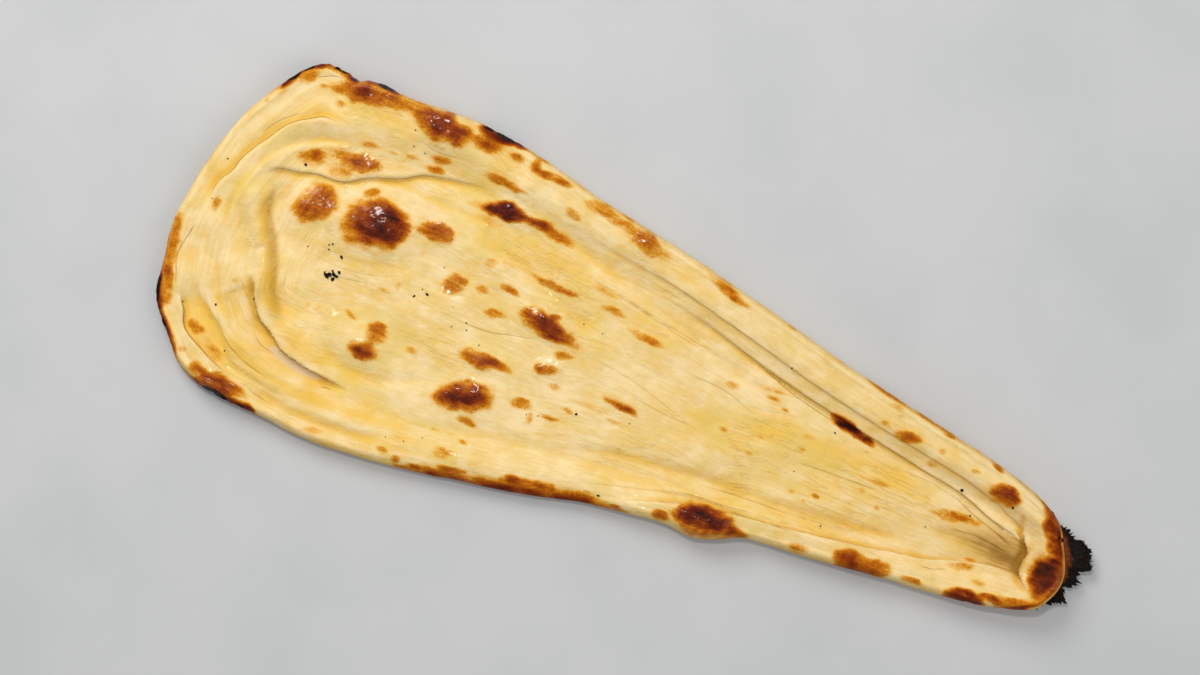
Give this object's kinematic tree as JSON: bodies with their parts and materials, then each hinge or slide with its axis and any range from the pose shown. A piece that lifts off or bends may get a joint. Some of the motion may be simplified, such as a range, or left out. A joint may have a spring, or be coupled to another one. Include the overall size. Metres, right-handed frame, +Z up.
{
  "type": "butter naan",
  "caption": "Long teardrop flatbread with a folded, layered rim, a thin blistered middle and a curled, charred tip; served whole on a flat plate or board",
  "frame": {"origin": "middle of the bread's outline box, at the height of its flat underside", "axes": "+X along the bread to its narrow charred tip, +Y across it towards the side with the main overlapping fold, +Z up out of the eaten face"},
  "size_m": [0.4629, 0.1692, 0.0185],
  "materials": {
    "baked_dough": "soft oily baked dough with brown blisters and a black charred tip"
  },
  "bodies": {
    "root": {"naan": "baked_dough"}
  },
  "joints": []
}
